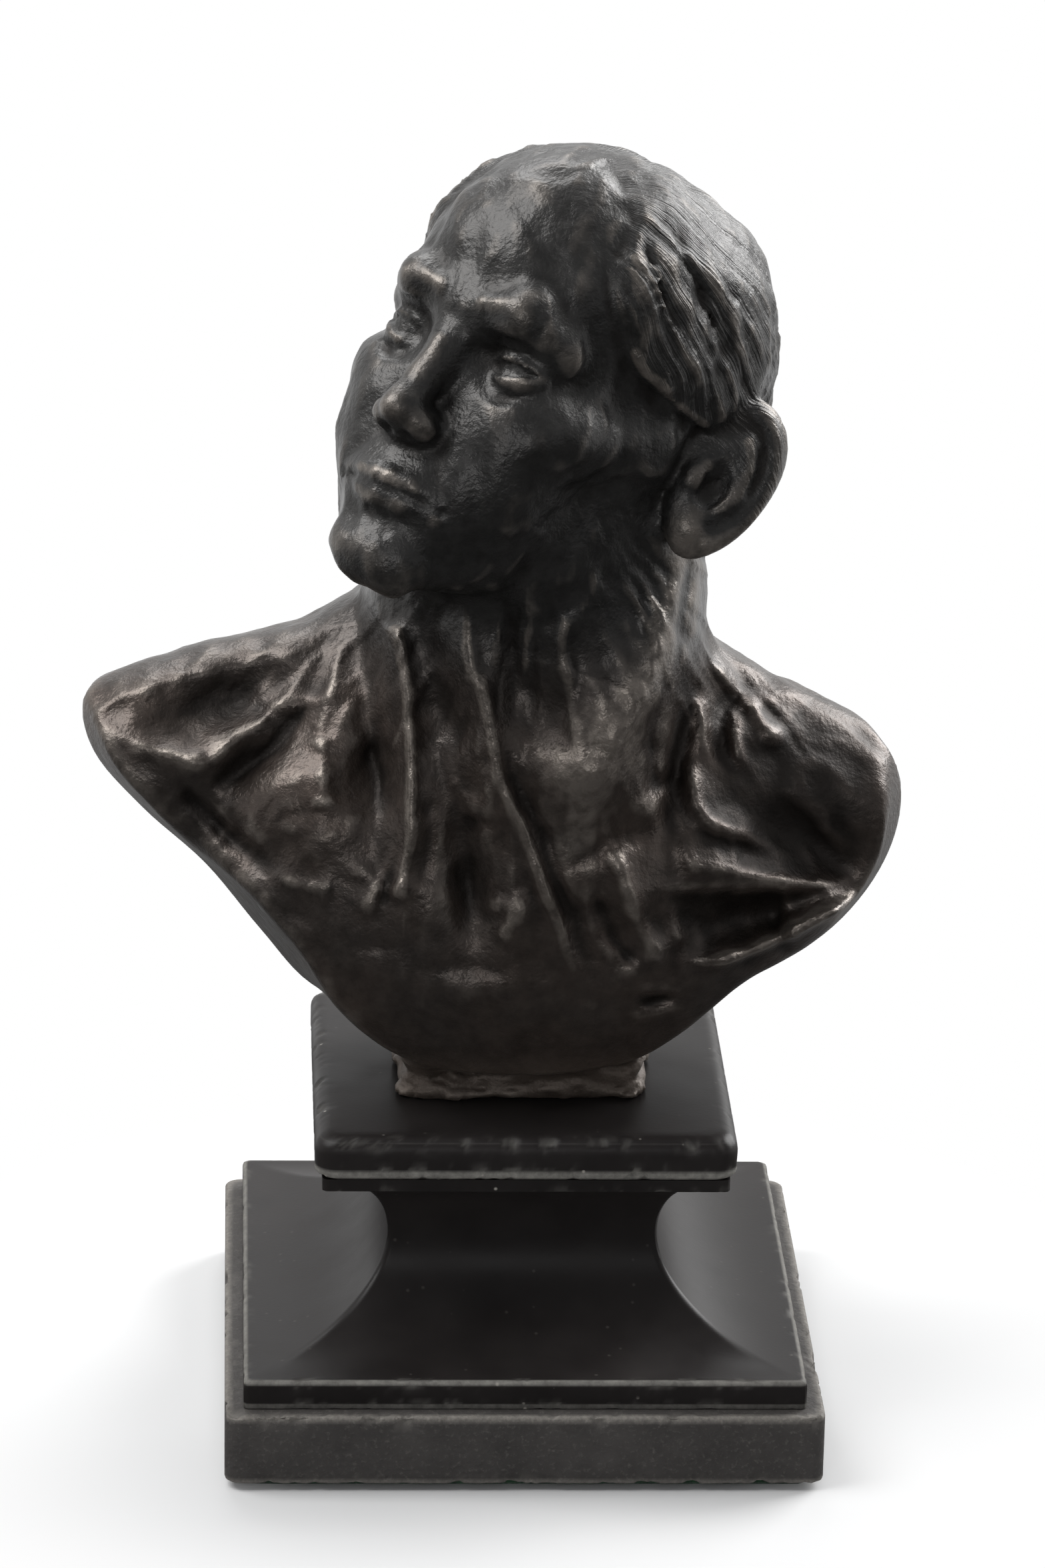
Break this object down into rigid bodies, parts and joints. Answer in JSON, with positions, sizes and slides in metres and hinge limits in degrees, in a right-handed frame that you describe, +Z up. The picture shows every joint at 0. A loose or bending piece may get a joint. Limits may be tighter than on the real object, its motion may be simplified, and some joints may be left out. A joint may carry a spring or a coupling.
{
  "type": "lead head sculpture",
  "caption": "Dark patinated lead head and shoulders bust, head turned and raised, on a square moulded stone plinth.",
  "frame": {"origin": "centre of the underside of the felt pad, on the surface that the sculpture stands on", "axes": "+Z up; the front of the plinth and chest faces -Y; +X to the right as seen from the front"},
  "size_m": [0.1101, 0.08, 0.1751],
  "materials": {
    "patinated_lead": "dark brown-black patina, semi-gloss, waxed",
    "polished_black_stone": "polished, worn and chipped at the edges",
    "rough_black_stone": "matte, rough, chipped at the corners",
    "steel": "plain turned steel",
    "felt": "dark green felt"
  },
  "bodies": {
    "root": {"felt_pad": "felt", "plinth_slab": "rough_black_stone", "cove_pedestal": "polished_black_stone", "capital_block": "polished_black_stone", "tie_rod": "steel", "washer": "steel", "hex_nut": "steel", "threaded_socket": "steel", "locating_pin_right": "steel", "locating_pin_left": "steel", "bust_casting": "patinated_lead"}
  },
  "joints": []
}
